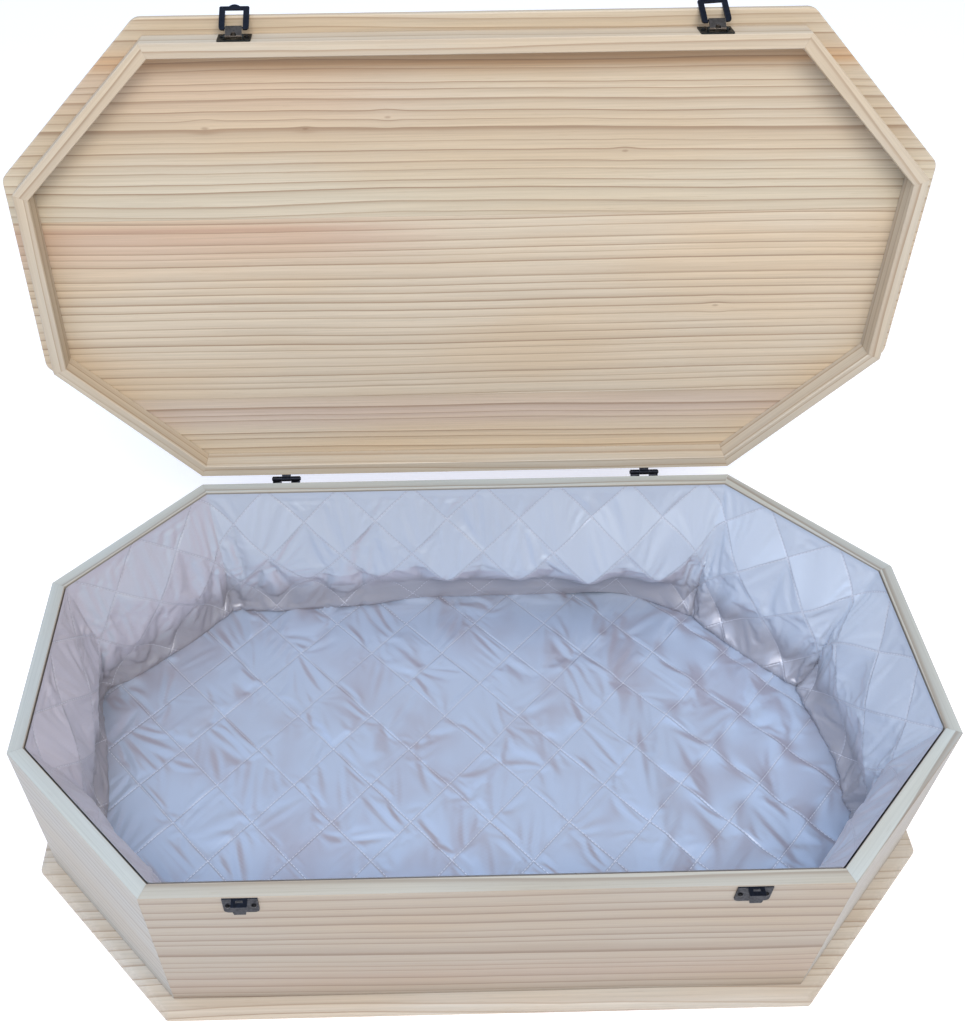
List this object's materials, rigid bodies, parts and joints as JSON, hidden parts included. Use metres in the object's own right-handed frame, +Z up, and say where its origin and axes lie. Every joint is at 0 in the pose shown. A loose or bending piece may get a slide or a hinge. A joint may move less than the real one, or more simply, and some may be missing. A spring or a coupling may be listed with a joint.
{
  "type": "pet coffin",
  "caption": "Elongated octagonal pine coffin for a pet, with a hinged lid held open on stop hinges, lever latches and a quilted satin lining.",
  "frame": {"origin": "centre of the underside of the base", "axes": "+Z up out of the open coffin, +X along its length to the right seen from the front, -Y towards the front with the latches, and the hinges at +Y"},
  "size_m": [0.912, 0.6007, 0.7264],
  "materials": {
    "pine_body": "planed pine, unvarnished",
    "pine_lid": "planed pine, unvarnished",
    "dark_bronze": "blackened bronze plating on pressed steel, satin",
    "screw_metal": "blackened bronze plating, satin",
    "quilted_satin": "pale pink-lilac polyester satin, quilted in diamonds over wadding"
  },
  "bodies": {
    "case": {"base_plank_front": "pine_body", "base_plank_middle": "pine_body", "base_plank_back": "pine_body", "wall_front": "pine_body", "wall_front_right": "pine_body", "wall_right": "pine_body", "wall_back_right": "pine_body", "wall_back": "pine_body", "wall_back_left": "pine_body", "wall_left": "pine_body", "wall_front_left": "pine_body", "lining_floor_pad": "quilted_satin", "lining_side_band": "quilted_satin", "catch_left": "dark_bronze", "catch_right": "dark_bronze", "catch_left_screw_left": "screw_metal", "catch_left_screw_right": "screw_metal", "catch_right_screw_left": "screw_metal", "catch_right_screw_right": "screw_metal", "hinge_left_body_leaf": "dark_bronze", "hinge_right_body_leaf": "dark_bronze", "hinge_left_pin": "dark_bronze", "hinge_right_pin": "dark_bronze", "hinge_left_body_screw_left": "screw_metal", "hinge_left_body_screw_right": "screw_metal", "hinge_right_body_screw_left": "screw_metal", "hinge_right_body_screw_right": "screw_metal"},
    "lid": {"lid_plank_front": "pine_lid", "lid_plank_middle": "pine_lid", "lid_plank_back": "pine_lid", "lid_rail_front": "pine_lid", "lid_rail_front_right": "pine_lid", "lid_rail_right": "pine_lid", "lid_rail_back_right": "pine_lid", "lid_rail_back": "pine_lid", "lid_rail_back_left": "pine_lid", "lid_rail_left": "pine_lid", "lid_rail_front_left": "pine_lid", "hinge_left_lid_leaf": "dark_bronze", "hinge_right_lid_leaf": "dark_bronze", "hinge_left_lid_screw_left": "screw_metal", "hinge_left_lid_screw_right": "screw_metal", "hinge_right_lid_screw_left": "screw_metal", "hinge_right_lid_screw_right": "screw_metal", "latch_left_plate": "dark_bronze", "latch_right_plate": "dark_bronze", "latch_left_screw_left": "screw_metal", "latch_left_screw_right": "screw_metal", "latch_right_screw_left": "screw_metal", "latch_right_screw_right": "screw_metal"},
    "latch_left_lever": {"latch_left_lever": "dark_bronze"},
    "latch_right_lever": {"latch_right_lever": "dark_bronze"},
    "latch_left_loop": {"latch_left_loop": "dark_bronze"},
    "latch_right_loop": {"latch_right_loop": "dark_bronze"}
  },
  "joints": [
    {"name": "lid_hinge", "type": "hinge", "parent": "case", "child": "lid", "pos_m": [0, 0.2479, 0.2202], "axis": [-1, 0, 0], "range_deg": [-96.6, 0]},
    {"name": "latch_left_lever_pivot", "type": "hinge", "parent": "lid", "child": "latch_left_lever", "pos_m": [-0.2145, 0.30983, 0.71018], "axis": [1, 0, 0], "range_deg": [0, 90]},
    {"name": "latch_left_loop_pivot", "type": "hinge", "parent": "latch_left_lever", "child": "latch_left_loop", "pos_m": [-0.2145, 0.31787, 0.71443], "axis": [-1, 0, 0], "range_deg": [-162, 0]},
    {"name": "latch_right_lever_pivot", "type": "hinge", "parent": "lid", "child": "latch_right_lever", "pos_m": [0.2145, 0.30983, 0.71018], "axis": [1, 0, 0], "range_deg": [0, 90]},
    {"name": "latch_right_loop_pivot", "type": "hinge", "parent": "latch_right_lever", "child": "latch_right_loop", "pos_m": [0.2145, 0.31787, 0.71443], "axis": [-1, 0, 0], "range_deg": [-162, 0]}
  ]
}
